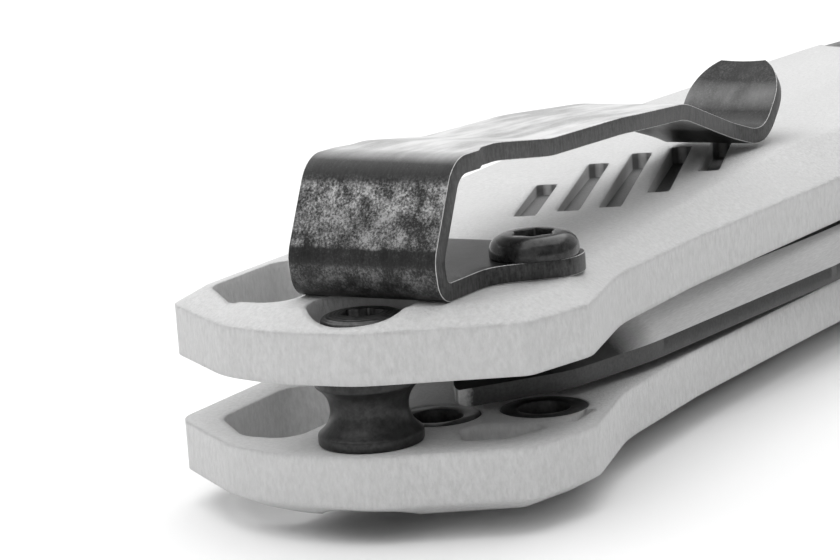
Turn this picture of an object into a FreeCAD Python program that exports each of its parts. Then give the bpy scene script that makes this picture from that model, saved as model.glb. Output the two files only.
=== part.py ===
import FreeCAD, Part
import math, os
import Sketcher

# Folding pocket knife with two moulded polymer handle scales, nested steel
# liners, a sliding cross-bar lock and a bent-strip pocket clip at the butt.
# Model frame: +X from the butt to the pivot end, +Y towards the handle's
# spine, +Z from the show side to the clip side. All plan positions below are
# measured from the axis of the rear spacer, at mid gap; origin_x, origin_y
# and origin_z then carry every piece to the library frame.

V = FreeCAD.Vector
doc = FreeCAD.newDocument("FoldingKnife")
sheet = doc.addObject("Spreadsheet::Sheet", "dims")

DIMS = [
    ("origin_x", -49.65), ("origin_y", -4.19), ("origin_z", 5.6),
    # handle stack, heights from mid gap
    ("gap_half", 1.61), ("rim_height", 3.95), ("face_height", 5.6),
    ("butt_height", 4.7), ("bevel_inset", 3.1),
    ("liner_thick", 0.9), ("liner_pocket", 0.95), ("liner_inset", 1.7), ("pocket_inset", 1.6),
    # rear and middle spacers
    ("spacer_flange_rad", 2.4), ("spacer_waist_rad", 1.78), ("spacer_flange_thick", 0.5),
    ("spacer_bore_rad", 1.05), ("midspacer_x", 47.0), ("midspacer_y", 12.6),
    ("screw_pass_rad", 1.15), ("counterbore_rad", 2.5), ("counterbore_floor", 3.3),
    ("spacer_head_rad", 1.92), ("spacer_head_height", 1.0), ("spacer_shank_rad", 1.0),
    # clip fasteners
    ("clipscrew_x", 6.28), ("clipscrew_y", -2.47), ("clipscrew_pitch", 5.0), ("clipscrew_turn", -53.8),
    ("clipscrew_head_rad", 2.1), ("clipscrew_head_height", 1.05), ("clipscrew_shank_rad", 1.04),
    ("insert_flange_rad", 2.07), ("insert_body_rad", 1.75), ("insert_bore_rad", 1.25), ("insert_thread_rad", 1.05),
    ("insert_flange_thick", 0.45), ("insert_length", 2.3), ("clip_hole_rad", 1.4),
    # pocket clip
    ("clip_thick", 0.85), ("clip_turn", 1.8), ("clip_axis_y", -0.15), ("clip_half", 3.85),
    ("clip_arm_half", 3.5), ("clip_split", 7.6), ("clip_foot", 4.72),
    # pivot
    ("pivot_x", 91.5), ("pivot_y", 3.4), ("barrel_rad", 2.5), ("barrel_bore_rad", 1.65),
    ("barrel_half", 4.3), ("pivot_hole_rad", 2.53), ("pivot_head_rad", 4.3), ("pivot_head_thick", 0.95),
    ("pivot_recess_rad", 4.45), ("pivot_floor", 4.33), ("pivot_shank_rad", 1.6),
    ("washer_rad", 5.4), ("washer_thick", 0.4),
    # blade
    ("blade_half", 1.15), ("tang_rad", 6.9), ("stud_x", 80.2), ("stud_y", -6.4), ("stud_rad", 1.9),
    ("stud_height", 3.0),
    # stop pin and lock
    ("stoppin_x", 96.43), ("stoppin_y", 10.44), ("stoppin_rad", 1.5), ("stoppin_half", 2.45),
    ("lockbar_x", 87.0), ("lockbar_y", 11.88), ("lockbar_rad", 1.6), ("lockbar_neck_rad", 1.15),
    ("lockbar_travel", 3.0), ("lockbar_slot_half", 1.28), ("button_rad", 2.7), ("button_recess_rad", 3.05),
    ("button_base", 4.15), ("button_top", 5.3), ("button_floor", 3.95), ("button_bore_rad", 1.0),
    ("spring_wire_rad", 0.35), ("spring_level", 3.05), ("spring_pocket", 1.0),
]
for i, (alias, value) in enumerate(DIMS, start=1):
    sheet.set("A%d" % i, alias.replace("_", " "))
    sheet.set("B%d" % i, "%g" % value)
    sheet.setAlias("B%d" % i, alias)
doc.recompute()


def D(alias):
    return float(sheet.get(alias))


# ---------------------------------------------------------------- plan lines
def rounded(pts, radii, closed=True):
    """Straight runs joined by tangent arcs, as ('L', a, b) and ('A', a, m, b)."""
    n = len(pts)
    corner = []
    for i in range(n):
        x, y = pts[i]
        if not closed and i in (0, n - 1):
            corner.append(None)
            continue
        ax, ay = pts[i - 1]
        bx, by = pts[(i + 1) % n]
        ux, uy = ax - x, ay - y
        vx, vy = bx - x, by - y
        lu, lv = math.hypot(ux, uy), math.hypot(vx, vy)
        ux, uy, vx, vy = ux / lu, uy / lu, vx / lv, vy / lv
        ang = math.acos(max(-1, min(1, ux * vx + uy * vy)))
        rad = radii[i]
        if rad <= 0 or ang > math.pi - 1e-4:
            corner.append(None)
            continue
        tan_len = rad / math.tan(ang / 2)
        cap = 0.49 * min(lu, lv) if closed or (0 < i - 1 and i + 1 < n - 1) else 0.9 * min(lu, lv)
        if tan_len > cap:
            tan_len = cap
            rad = tan_len * math.tan(ang / 2)
        a = (x + ux * tan_len, y + uy * tan_len)
        b = (x + vx * tan_len, y + vy * tan_len)
        wx, wy = ux + vx, uy + vy
        lw = math.hypot(wx, wy)
        dist = rad / math.sin(ang / 2)
        c = (x + wx / lw * dist, y + wy / lw * dist)
        m = (c[0] - wx / lw * rad, c[1] - wy / lw * rad)
        corner.append((a, m, b))
    segs = []
    last = range(n) if closed else range(n - 1)
    for i in last:
        j = (i + 1) % n
        start = corner[i][2] if corner[i] else pts[i]
        end = corner[j][0] if corner[j] else pts[j]
        if math.hypot(start[0] - end[0], start[1] - end[1]) > 1e-6:
            segs.append(("L", start, end))
        if corner[j]:
            segs.append(("A",) + corner[j])
    return segs


def inset(pts, radii, dist):
    """The same closed counter-clockwise outline moved inwards by dist."""
    n = len(pts)
    out, rr = [], []
    for i in range(n):
        ax, ay = pts[i - 1]
        x, y = pts[i]
        bx, by = pts[(i + 1) % n]
        l1, l2 = math.hypot(x - ax, y - ay), math.hypot(bx - x, by - y)
        d1, d2 = ((x - ax) / l1, (y - ay) / l1), ((bx - x) / l2, (by - y) / l2)
        n1, n2 = (-d1[1], d1[0]), (-d2[1], d2[0])
        cross = d1[0] * d2[1] - d1[1] * d2[0]
        k = dist / (1 + n1[0] * n2[0] + n1[1] * n2[1])
        out.append((x + k * (n1[0] + n2[0]), y + k * (n1[1] + n2[1])))
        rr.append(max(radii[i] - dist, 0.25) if cross > 0 else radii[i] + dist)
    return out, rr


def geometry(segs):
    out = []
    for seg in segs:
        p = [V(q[0], q[1], 0) for q in seg[1:]]
        out.append(Part.LineSegment(*p) if seg[0] == "L" else Part.Arc(*p))
    return out


def origin_feature(body, role):
    for f in body.Origin.OriginFeatures:
        if f.Role == role:
            return f
    raise RuntimeError(role)


def sketch(body, name, role="XY_Plane", level=None, shift=None):
    sk = body.newObject("Sketcher::SketchObject", name)
    sk.AttachmentSupport = [(origin_feature(body, role), "")]
    sk.MapMode = "FlatFace"
    if shift is not None:
        sk.setExpression("AttachmentOffset.Base.x", shift)
    if level is not None:
        sk.setExpression("AttachmentOffset.Base.z", level)
    return sk


def outline_sketch(body, name, segs, role="XY_Plane", level=None):
    sk = sketch(body, name, role, level)
    sk.addGeometry(geometry(segs), False)
    return sk


def circle_sketch(body, name, circles, level=None, role="XY_Plane", rel=("0", "0")):
    """Circles bound to the sheet: (x, y, radius) as expressions over its cells."""
    sk = sketch(body, name, role, level)
    for k, (ex, ey, er) in enumerate(circles):
        x, y, r = value(ex), value(ey), value(er)
        g = sk.addGeometry(Part.Circle(V(x, y, 0), V(0, 0, 1), r), False)
        c = sk.addConstraint(Sketcher.Constraint("Radius", g, r))
        sk.renameConstraint(c, "radius%d" % k)
        sk.setExpression(".Constraints.radius%d" % k, er)
        if abs(x) < 1e-9 and abs(y) < 1e-9:
            sk.addConstraint(Sketcher.Constraint("Coincident", g, 3, -1, 1))
            continue
        for axis, e, v in (("X", ex, x), ("Y", ey, y)):
            if abs(v) < 1e-9:
                sk.addConstraint(Sketcher.Constraint("PointOnObject", g, 3, -1 if axis == "Y" else -2))
            elif v > 0:
                c = sk.addConstraint(Sketcher.Constraint("Distance" + axis, -1, 1, g, 3, v))
                sk.renameConstraint(c, "at%s%d" % (axis, k))
                sk.setExpression(".Constraints.at%s%d" % (axis, k), e)
            else:
                c = sk.addConstraint(Sketcher.Constraint("Distance" + axis, g, 3, -1, 1, -v))
                sk.renameConstraint(c, "at%s%d" % (axis, k))
                sk.setExpression(".Constraints.at%s%d" % (axis, k), "-(%s)" % e)
    return sk


def value(expr):
    env = {a: v for a, v in DIMS}
    text = expr.replace("dims.", "")
    total = 0.0
    # sums and differences of cells and numbers only
    tok = text.replace("-", "+-").split("+")
    for t in tok:
        t = t.strip()
        if not t:
            continue
        sign = 1
        if t.startswith("-"):
            sign, t = -1, t[1:].strip()
        total += sign * (D(t) if t in env else float(t))
    return total


def pad(body, name, sk, length, reverse=False, mid=False):
    f = body.newObject("PartDesign::Pad", name)
    f.Profile = sk
    f.Length = 1.0
    f.setExpression("Length", length)
    f.Reversed = reverse
    if mid:
        f.Midplane = True
    return f


CUTS = []


def pocket(body, name, sk, length, reverse=False, mid=False):
    f = body.newObject("PartDesign::Pocket", name)
    f.Profile = sk
    f.Length = 1.0
    f.setExpression("Length", length)
    f.Reversed = reverse
    if mid:
        f.Midplane = True
    CUTS.append(f)
    return f


def revolve(body, name, sk):
    f = body.newObject("PartDesign::Revolution", name)
    f.Profile = sk
    f.ReferenceAxis = (sk, ["V_Axis"])
    f.Angle = 360
    return f


NODES = []


def new_body(label, x="0", y="0", z="0", turn=None):
    body = doc.addObject("PartDesign::Body", label)
    body.Label = label
    body.setExpression("Placement.Base.x", "dims.origin_x + " + x)
    body.setExpression("Placement.Base.y", "dims.origin_y + " + y)
    body.setExpression("Placement.Base.z", "dims.origin_z + " + z)
    if turn:
        body.Placement = FreeCAD.Placement(V(0, 0, 0), FreeCAD.Rotation(V(0, 0, 1), D(turn)))
        body.setExpression("Placement.Rotation.Angle", "dims." + turn)
    NODES.append(body)
    return body


def profile_body(label, pts, x="0", y="0", turn=None):
    """A turned piece: a closed half section (radius, height) spun about Z."""
    body = new_body(label, x, y, "0", turn)
    sk = outline_sketch(body, label + "_section", [("L", pts[i], pts[(i + 1) % len(pts)]) for i in range(len(pts))], "XZ_Plane")
    revolve(body, label + "_turned", sk)
    return body


def lobe_segs(cx, cy, rad, count=6, depth=0.16, phase=0.0):
    """A rounded star socket outline."""
    pts = []
    for k in range(2 * count):
        a = phase + math.pi * k / count
        r = rad * (1 + depth / 2) if k % 2 == 0 else rad * (1 - depth)
        pts.append((cx + r * math.cos(a), cy + r * math.sin(a)))
    return rounded(pts, [rad * 0.16] * len(pts))


# ------------------------------------------------------------ handle outline
OUT = [
    ((1.25, -7.75), 1.0), ((5.3, -8.6), 2.2), ((11.5, -6.75), 10), ((20.0, -6.2), 30),
    ((40.0, -6.15), 40), ((60.0, -6.9), 25), ((74.6, -6.9), 3.5), ((78.3, -3.4), 2.5),
    ((82.6, -3.5), 2.5), ((86.6, -7.1), 4.0), ((92.0, -8.2), 8.0), ((98.5, -5.4), 6.0),
    ((102.6, 1.0), 6.0), ((102.3, 8.0), 5.0), ((98.8, 14.4), 5.0), ((92.0, 17.2), 12.0),
    ((80.0, 17.6), 40), ((54.0, 17.0), 60), ((30.0, 14.5), 60), ((12.0, 12.1), 30),
    ((0.75, 11.35), 1.8), ((-2.75, 5.9), 5.0), ((-3.3, 2.7), 6.0), ((-2.75, -1.3), 4.0),
]
out_pts = [p for p, r in OUT]
out_rad = [r for p, r in OUT]
BEVEL = inset(out_pts, out_rad, D("bevel_inset"))

LIN = [((44.0, -6.25), 1.0)] + OUT[5:18] + [((44.0, 15.95), 1.0)]
lin_pts = [p for p, r in LIN]
lin_rad = [r for p, r in LIN]
LINER = inset(lin_pts, lin_rad, D("liner_inset"))
LINER_POCKET = inset(lin_pts, lin_rad, D("pocket_inset"))

LANYARD = ([(-0.9, 3.75), (4.4, 3.95), (8.2, 6.4), (8.0, 9.9), (1.4, 9.45), (-1.1, 6.4)],
           [1.6, 1.6, 1.3, 1.3, 1.6, 1.6])


def slot_segs(x, y, rad, travel):
    """A round-ended slot from x back to x - travel."""
    a, b = (x, y + rad), (x - travel, y + rad)
    c, d = (x - travel, y - rad), (x, y - rad)
    return [("L", a, b), ("A", b, (x - travel - rad, y), c), ("L", c, d), ("A", d, (x + rad, y), a)]


def make_scale(label, s):
    """One moulded scale: s is +1 on the clip side and -1 on the show side."""
    sg = "" if s > 0 else "-"
    up = s > 0
    b = new_body(label)
    pad(b, label + "_web", outline_sketch(b, label + "_outline", rounded(out_pts, out_rad), level=sg + "dims.gap_half"),
        "dims.rim_height - dims.gap_half", reverse=not up)
    lo = outline_sketch(b, label + "_bevel_foot", rounded(out_pts, out_rad), level=sg + "dims.rim_height")
    hi = outline_sketch(b, label + "_bevel_top", rounded(*BEVEL), level=sg + "dims.face_height")
    loft = b.newObject("PartDesign::AdditiveLoft", label + "_bevel")
    loft.Profile = lo
    loft.Sections = [hi]
    loft.Ruled = True
    loft.Closed = False
    # the outer face falls towards the butt
    side = [(-8, s * D("butt_height")), (12, s * D("butt_height")), (38, s * D("face_height")),
            (38, s * 9), (-8, s * 9)]
    sk = outline_sketch(b, label + "_taper_line", rounded(side, [0, 0, 0, 0, 0]), "XZ_Plane")
    pocket(b, label + "_taper", sk, "60", mid=True)
    # fastener and pin holes right through
    holes = [("0", "0", "dims.screw_pass_rad"),
             ("dims.midspacer_x", "dims.midspacer_y", "dims.screw_pass_rad"),
             ("dims.pivot_x", "dims.pivot_y", "dims.pivot_hole_rad + 0.03")]
    pocket(b, label + "_through_holes", circle_sketch(b, label + "_hole_plan", holes), "30", mid=True)
    a = math.radians(D("clipscrew_turn"))
    hx, hy = D("clipscrew_pitch") / 2 * math.cos(a), D("clipscrew_pitch") / 2 * math.sin(a)
    cx, cy = D("clipscrew_x"), D("clipscrew_y")
    sk = sketch(b, label + "_clip_hole_plan")
    for q in (-1, 1):
        sk.addGeometry(Part.Circle(V(cx + q * hx, cy + q * hy, 0), V(0, 0, 1), D("clip_hole_rad")), False)
    pocket(b, label + "_clip_holes", sk, "30", mid=True)
    # counterbores for the screw heads, open to the outside
    cb = circle_sketch(b, label + "_counterbore_plan",
                       [("0", "0", "dims.counterbore_rad"),
                        ("dims.midspacer_x", "dims.midspacer_y", "dims.counterbore_rad")],
                       level=sg + "dims.counterbore_floor")
    pocket(b, label + "_counterbores", cb, "8", reverse=up)
    cb = circle_sketch(b, label + "_pivot_recess_plan",
                       [("dims.pivot_x", "dims.pivot_y", "dims.pivot_recess_rad")], level=sg + "dims.pivot_floor")
    pocket(b, label + "_pivot_recess", cb, "8", reverse=up)
    # lanyard hole with a relieved lip on the outer face
    pocket(b, label + "_lanyard", outline_sketch(b, label + "_lanyard_plan", rounded(*LANYARD)), "30", mid=True)
    # seats for the clip inserts, from the inner face
    sk = sketch(b, label + "_insert_flange_plan", level=sg + "dims.gap_half")
    for q in (-1, 1):
        sk.addGeometry(Part.Circle(V(cx + q * hx, cy + q * hy, 0), V(0, 0, 1), D("insert_flange_rad") + 0.03), False)
    pocket(b, label + "_insert_flange_seats", sk, "dims.insert_flange_thick + 0.02", reverse=up)
    sk = sketch(b, label + "_insert_body_plan", level=sg + "dims.gap_half")
    for q in (-1, 1):
        sk.addGeometry(Part.Circle(V(cx + q * hx, cy + q * hy, 0), V(0, 0, 1), D("insert_body_rad") + 0.02), False)
    pocket(b, label + "_insert_body_seats", sk, "dims.insert_length + 0.03", reverse=up)
    # moulded relief along the belly rim and a short sink slot near the corner
    relief = [(1.2, -4.1), (2.3, -5.8), (4.3, -6.55), (4.9, -5.9), (4.45, -4.9), (4.05, -3.4), (2.7, -2.9)]
    pocket(b, label + "_relief", outline_sketch(b, label + "_relief_plan", rounded(relief, [0.3, 0.8, 0.3, 0.4, 0.6, 0.4, 0.5]),
           level=sg + "dims.gap_half"), "0.9", reverse=up)
    slot = [(5.75, -7.25), (8.1, -7.05), (8.0, -6.6), (5.8, -6.75)]
    pocket(b, label + "_sink", outline_sketch(b, label + "_sink_plan", rounded(slot, [0.18] * 4),
           level=sg + "dims.gap_half"), "0.35", reverse=up)
    # liner, spring and lock bar spaces
    pocket(b, label + "_liner_seat", outline_sketch(b, label + "_liner_plan", rounded(*LINER_POCKET), level=sg + "dims.gap_half"),
           "dims.liner_pocket", reverse=up)
    spring = [(69.3, 9.1), (87.8, 9.1), (87.8, 13.7), (84.0, 15.2), (69.3, 15.2)]
    pocket(b, label + "_spring_space", outline_sketch(b, label + "_spring_plan", rounded(spring, [1.2] * 5),
           level=sg + "dims.gap_half"), "dims.liner_pocket + dims.spring_pocket", reverse=up)
    x, y = D("lockbar_x"), D("lockbar_y")
    pocket(b, label + "_lock_slot", outline_sketch(b, label + "_lock_slot_plan", slot_segs(x, y, D("lockbar_slot_half"), D("lockbar_travel") + 0.1)),
           "30", mid=True)
    pocket(b, label + "_button_recess", outline_sketch(b, label + "_button_plan",
           slot_segs(x, y, D("button_recess_rad"), D("lockbar_travel") + 0.1), level=sg + "dims.button_floor"), "8", reverse=up)
    sk = circle_sketch(b, label + "_stop_plan", [("dims.stoppin_x", "dims.stoppin_y", "dims.stoppin_rad + 0.03")],
                       level=sg + "dims.gap_half")
    pocket(b, label + "_stop_seat", sk, "1.05", reverse=up)
    # grip grooves, cut a little into the outer face
    sk = sketch(b, label + "_groove_plan", level=sg + "dims.face_height")
    ang = math.radians(21)
    for x0, y0, run in ((19.5, 2.9, 8.0), (21.0, 1.2, 12.5), (22.2, -0.6, 14.5), (26.0, -1.4, 12.5), (31.5, -1.6, 9.0)):
        x1, y1 = x0 + run * math.cos(ang), y0 + run * math.sin(ang)
        w = 0.58
        nx, ny = -math.sin(ang) * w, math.cos(ang) * w
        quad = [(x0 - nx, y0 - ny), (x1 - nx, y1 - ny), (x1 + nx, y1 + ny), (x0 + nx, y0 + ny)]
        sk.addGeometry(geometry(rounded(quad, [0.56] * 4)), False)
    pocket(b, label + "_grooves", sk, "0.95", reverse=not up)
    return b


make_scale("clip_side_scale", 1)
make_scale("show_side_scale", -1)


# ------------------------------------------------------------------- liners
def make_liner(label, s):
    sg = "" if s > 0 else "-"
    b = new_body(label)
    pad(b, label + "_plate", outline_sketch(b, label + "_outline", rounded(*LINER), level=sg + "dims.gap_half"),
        "dims.liner_thick", reverse=s < 0)
    holes = [("dims.pivot_x", "dims.pivot_y", "dims.pivot_hole_rad + 0.02"),
             ("dims.midspacer_x", "dims.midspacer_y", "dims.screw_pass_rad"),
             ("dims.stoppin_x", "dims.stoppin_y", "dims.stoppin_rad + 0.02"),
             ("59.5", "5.0", "2.3"), ("72.5", "1.5", "2.3"), ("51.0", "1.8", "2.3"), ("81.9", "13.8", "0.5")]
    pocket(b, label + "_holes", circle_sketch(b, label + "_hole_plan", holes), "20", mid=True)
    pocket(b, label + "_lock_slot", outline_sketch(b, label + "_slot_plan",
           slot_segs(D("lockbar_x"), D("lockbar_y"), D("lockbar_slot_half"), D("lockbar_travel") + 0.1)), "20", mid=True)
    return b


make_liner("clip_side_liner", 1)
make_liner("show_side_liner", -1)


# -------------------------------------------------------------------- blade
blade = new_body("blade")
px, py = D("pivot_x"), D("pivot_y")
BL = [((4.5, -1.7), 0.2), ((9.6, -5.05), 5.0), ((15.5, -6.1), 20.0), ((35.0, -7.1), 60.0), ((60.0, -7.6), 60.0),
      ((75.0, -9.1), 8.0), ((82.4, -9.2), 1.4), ((85.3, -2.57), 0.0), ((89.5, 2.2), 0.0), ((87.6, 7.6), 0.0),
      ((85.0, 9.25), 1.2), ((81.4, 9.25), 0.8), ((80.3, 7.3), 0.9), ((77.7, 7.3), 0.9), ((76.3, 9.3), 0.3),
      ((46.0, 9.3), 90.0), ((28.0, 8.6), 40.0), ((16.5, 5.2), 30.0), ((9.0, 1.25), 16.0)]
pad(blade, "blade_plate", outline_sketch(blade, "blade_outline", rounded([p for p, r in BL], [r for p, r in BL])),
    "2 * dims.blade_half", mid=True)
pad(blade, "blade_tang", circle_sketch(blade, "tang_circle", [("dims.pivot_x", "dims.pivot_y", "dims.tang_rad")]),
    "2 * dims.blade_half", mid=True)


def polar(r, deg):
    return (px + r * math.cos(math.radians(deg)), py + r * math.sin(math.radians(deg)))


nub = [polar(5.5, 66.5), polar(7.8, 66.0), polar(7.8, 84.0), polar(6.5, 92.0), polar(5.0, 92.0)]
pad(blade, "blade_stop_shoulder", outline_sketch(blade, "stop_shoulder_plan", rounded(nub, [0, 0.25, 0.6, 0, 0])),
    "2 * dims.blade_half", mid=True)
notch = [polar(8.5, 296), polar(5.95, 299), polar(6.3, 316), polar(8.5, 320)]
pocket(blade, "blade_lock_notch", outline_sketch(blade, "lock_notch_plan", rounded(notch, [0, 0.3, 0.6, 0])), "6", mid=True)
pocket(blade, "blade_pivot_hole", circle_sketch(blade, "pivot_hole_plan", [("dims.pivot_x", "dims.pivot_y", "dims.pivot_hole_rad")]),
       "6", mid=True)
# flat grind on both faces, from the grind line down to a thin edge
for s in (1, -1):
    z1, z2 = s * (D("blade_half")), s * 0.22
    tri = [(1.6, z1), (9.6, z2), (12.0, z2), (12.0, s * 2.0), (1.6, s * 2.0)]
    sk = sketch(blade, "grind_line_%s" % ("clip" if s > 0 else "show"), "YZ_Plane", "74.5")
    sk.addGeometry(geometry(rounded(tri, [0] * 5)), False)
    pocket(blade, "blade_grind_%s" % ("clip" if s > 0 else "show"), sk, "82")
pocket(blade, "blade_stud_hole", circle_sketch(blade, "stud_hole_plan", [("dims.stud_x", "dims.stud_y", "dims.stud_rad - 0.9")]),
       "6", mid=True)

for label, s in (("thumb_stud_clip_side", 1), ("thumb_stud_show_side", -1)):
    r = D("stud_rad")
    h0, h1 = D("blade_half"), D("blade_half") + D("stud_height")
    pts = [(0.0, s * 0.02), (0.95, s * 0.02), (0.95, s * h0), (r, s * h0), (r, s * (h0 + 0.5)), (r - 0.35, s * (h0 + 0.8)),
           (r - 0.35, s * (h1 - 1.2)), (r, s * (h1 - 0.9)), (r, s * (h1 - 0.45)), (r - 0.3, s * h1), (0.0, s * h1)]
    profile_body(label, pts, "dims.stud_x", "dims.stud_y")

# -------------------------------------------------------------------- pivot
b = new_body("pivot_barrel", "dims.pivot_x", "dims.pivot_y")
sk = circle_sketch(b, "pivot_barrel_section", [("0", "0", "dims.barrel_rad"), ("0", "0", "dims.barrel_bore_rad")])
pad(b, "pivot_barrel_tube", sk, "2 * dims.barrel_half", mid=True)

for label, s in (("pivot_screw_clip_side", 1), ("pivot_screw_show_side", -1)):
    f, t, r = D("pivot_floor"), D("pivot_head_thick"), D("pivot_head_rad")
    pts = [(0.0, s * 0.6), (D("pivot_shank_rad"), s * 0.6), (D("pivot_shank_rad"), s * (f + 0.02)), (r, s * (f + 0.02)),
           (r, s * (f + t - 0.35)), (r - 0.35, s * (f + t)), (0.0, s * (f + t))]
    b = profile_body(label, pts, "dims.pivot_x", "dims.pivot_y")
    sg = "" if s > 0 else "-"
    sk = outline_sketch(b, label + "_socket_plan", lobe_segs(0, 0, 1.75, phase=0.2), level=sg + "(dims.pivot_floor + 0.2)")
    pocket(b, label + "_socket", sk, "3", reverse=s > 0)

for label, s in (("pivot_washer_clip_side", 1), ("pivot_washer_show_side", -1)):
    sg = "" if s > 0 else "-"
    b = new_body(label, "dims.pivot_x", "dims.pivot_y")
    sk = circle_sketch(b, label + "_ring", [("0", "0", "dims.washer_rad"), ("0", "0", "dims.pivot_hole_rad + 0.02")],
                       level=sg + "(dims.gap_half - 0.01)")
    pad(b, label + "_disc", sk, "dims.washer_thick", reverse=s > 0)

b = new_body("stop_pin", "dims.stoppin_x", "dims.stoppin_y")
pad(b, "stop_pin_rod", circle_sketch(b, "stop_pin_section", [("0", "0", "dims.stoppin_rad")]), "2 * dims.stoppin_half", mid=True)

# --------------------------------------------------------------------- lock
r, n, br = D("lockbar_rad"), D("lockbar_neck_rad"), D("button_bore_rad")
pts = [(0, -5.0), (br - 0.02, -5.0), (br - 0.02, -4.13), (n, -4.13), (n, -1.5), (r, -1.35), (r, 1.35), (n, 1.5),
       (n, 4.13), (br - 0.02, 4.13), (br - 0.02, 5.0), (0, 5.0)]
profile_body("lock_bar", pts, "dims.lockbar_x", "dims.lockbar_y")
for label, s in (("lock_button_clip_side", 1), ("lock_button_show_side", -1)):
    z0, z1, R = D("button_base"), D("button_top"), D("button_rad")
    pts = [(br, s * z0), (R - 0.2, s * z0), (R, s * (z0 + 0.2)), (R, s * (z1 - 0.35)), (R - 0.35, s * z1), (0, s * z1),
           (0, s * 5.03), (br, s * 5.03)]
    b = profile_body(label, pts, "dims.lockbar_x", "dims.lockbar_y")

SPRING = ([(82.6, 13.8), (75.4, 13.8), (73.9, 14.75), (70.2, 14.75), (70.2, 9.75), (73.9, 9.75), (75.6, 11.88), (85.78, 11.88)],
          [0, 1.0, 1.0, 1.9, 1.9, 1.3, 1.3, 0])
for label, s in (("omega_spring_clip_side", 1), ("omega_spring_show_side", -1)):
    sg = "" if s > 0 else "-"
    b = new_body(label)
    path = outline_sketch(b, label + "_path", rounded(SPRING[0], SPRING[1], closed=False), level=sg + "dims.spring_level")
    sk = sketch(b, label + "_wire", "YZ_Plane", "82.6")
    sk.addGeometry(Part.Circle(V(13.8, s * D("spring_level"), 0), V(0, 0, 1), D("spring_wire_rad")), False)
    pipe = b.newObject("PartDesign::AdditivePipe", label + "_coil")
    pipe.Profile = sk
    pipe.Spine = (path, ["Edge%d" % (k + 1) for k in range(len(path.Geometry))])

# ------------------------------------------------------------------ spacers
def spool(label, x, y):
    b = new_body(label, x, y)
    g, fr, wr, ft, br = D("gap_half"), D("spacer_flange_rad"), D("spacer_waist_rad"), D("spacer_flange_thick"), D("spacer_bore_rad")
    c = 0.07
    segs = [("L", (br, -g), (fr - c, -g)), ("L", (fr - c, -g), (fr, -g + c)), ("L", (fr, -g + c), (fr, -g + ft)),
            ("L", (fr, -g + ft), (fr - 0.1, -g + ft + 0.08)),
            ("A", (fr - 0.1, -g + ft + 0.08), (wr, 0.0), (fr - 0.1, g - ft - 0.08)),
            ("L", (fr - 0.1, g - ft - 0.08), (fr, g - ft)), ("L", (fr, g - ft), (fr, g - c)),
            ("L", (fr, g - c), (fr - c, g)), ("L", (fr - c, g), (br, g)), ("L", (br, g), (br, -g))]
    revolve(b, label + "_turned", outline_sketch(b, label + "_section", segs, "XZ_Plane"))
    return b


spool("rear_spacer", "0", "0")
spool("middle_spacer", "dims.midspacer_x", "dims.midspacer_y")


def dome(r, z0, edge, height, steps=5):
    """Right half of a pan head from its rim up to its crown."""
    out = []
    for k in range(steps + 1):
        a = math.pi / 2 * k / steps
        out.append((r * (0.62 + 0.38 * math.cos(a)), z0 + edge + (height - edge) * math.sin(a)))
    return out


def button_screw(label, x, y, s, seat, head_r, head_h, shank_r, tip, edge=0.3, crown=True, slot=0.95, depth=0.6, turn=0.3):
    pts = [(0.0, s * tip), (shank_r - 0.15, s * tip), (shank_r, s * (tip + 0.15)), (shank_r, s * seat), (head_r, s * seat)]
    pts += [(a, s * z) for a, z in dome(head_r, seat, edge, head_h)]
    pts += [(0.0, s * (seat + head_h))]
    b = profile_body(label, pts, x, y)
    sg = "" if s > 0 else "-"
    sk = outline_sketch(b, label + "_socket_plan", lobe_segs(0, 0, slot, phase=turn), level="%s%g" % (sg, seat + head_h - depth))
    pocket(b, label + "_socket", sk, "3", reverse=s > 0)
    return b


for side, s in (("clip", 1), ("show", -1)):
    for spot, x, y in (("rear", "0", "0"), ("middle", "dims.midspacer_x", "dims.midspacer_y")):
        button_screw("%s_spacer_screw_%s_side" % (spot, side), x, y, s, D("counterbore_floor") + 0.01, D("spacer_head_rad"),
                     D("spacer_head_height"), D("spacer_shank_rad"), 0.35, edge=0.72)

# ------------------------------------------------- clip screws and inserts
seat = D("clip_foot") + D("clip_thick") + 0.01
hr, hh, sr = D("clipscrew_head_rad"), D("clipscrew_head_height"), D("clipscrew_shank_rad")
rad = D("clipscrew_pitch") / 2


def clip_screw(label, pts, shift, at, depth, top):
    """A clip screw, turned about an axis half a pitch from the middle of the pair."""
    b = new_body(label, "dims.clipscrew_x", "dims.clipscrew_y", "0", "clipscrew_turn")
    sk = sketch(b, label + "_section", "XZ_Plane", shift=shift)
    sk.addGeometry(geometry([("L", pts[i], pts[(i + 1) % len(pts)]) for i in range(len(pts))]), False)
    revolve(b, label + "_turned", sk)
    soc = outline_sketch(b, label + "_socket_plan", lobe_segs(at, 0, 1.0, phase=0.35), level="%g" % (top - depth))
    pocket(b, label + "_socket", soc, "3", reverse=True)


pts = [(0.0, 1.9), (sr - 0.15, 1.9), (sr, 2.05), (sr, seat), (hr, seat)] + dome(hr, seat, 0.3, hh) + [(0.0, seat + hh)]
clip_screw("clip_screw_button_head", pts, "dims.clipscrew_pitch / 2", rad, 0.62, seat + hh)
# the one behind the bend sits flush in the foot
fs, ft = D("clip_foot") + 0.36, D("clip_foot") + D("clip_thick") - 0.04
pts = [(0.0, 1.9), (sr - 0.15, 1.9), (sr, 2.05), (sr, fs), (1.88, fs), (1.88, ft - 0.06), (1.82, ft), (0.0, ft)]
clip_screw("clip_screw_flush_head", pts, "-(dims.clipscrew_pitch / 2)", -rad, 0.35, ft)

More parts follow.
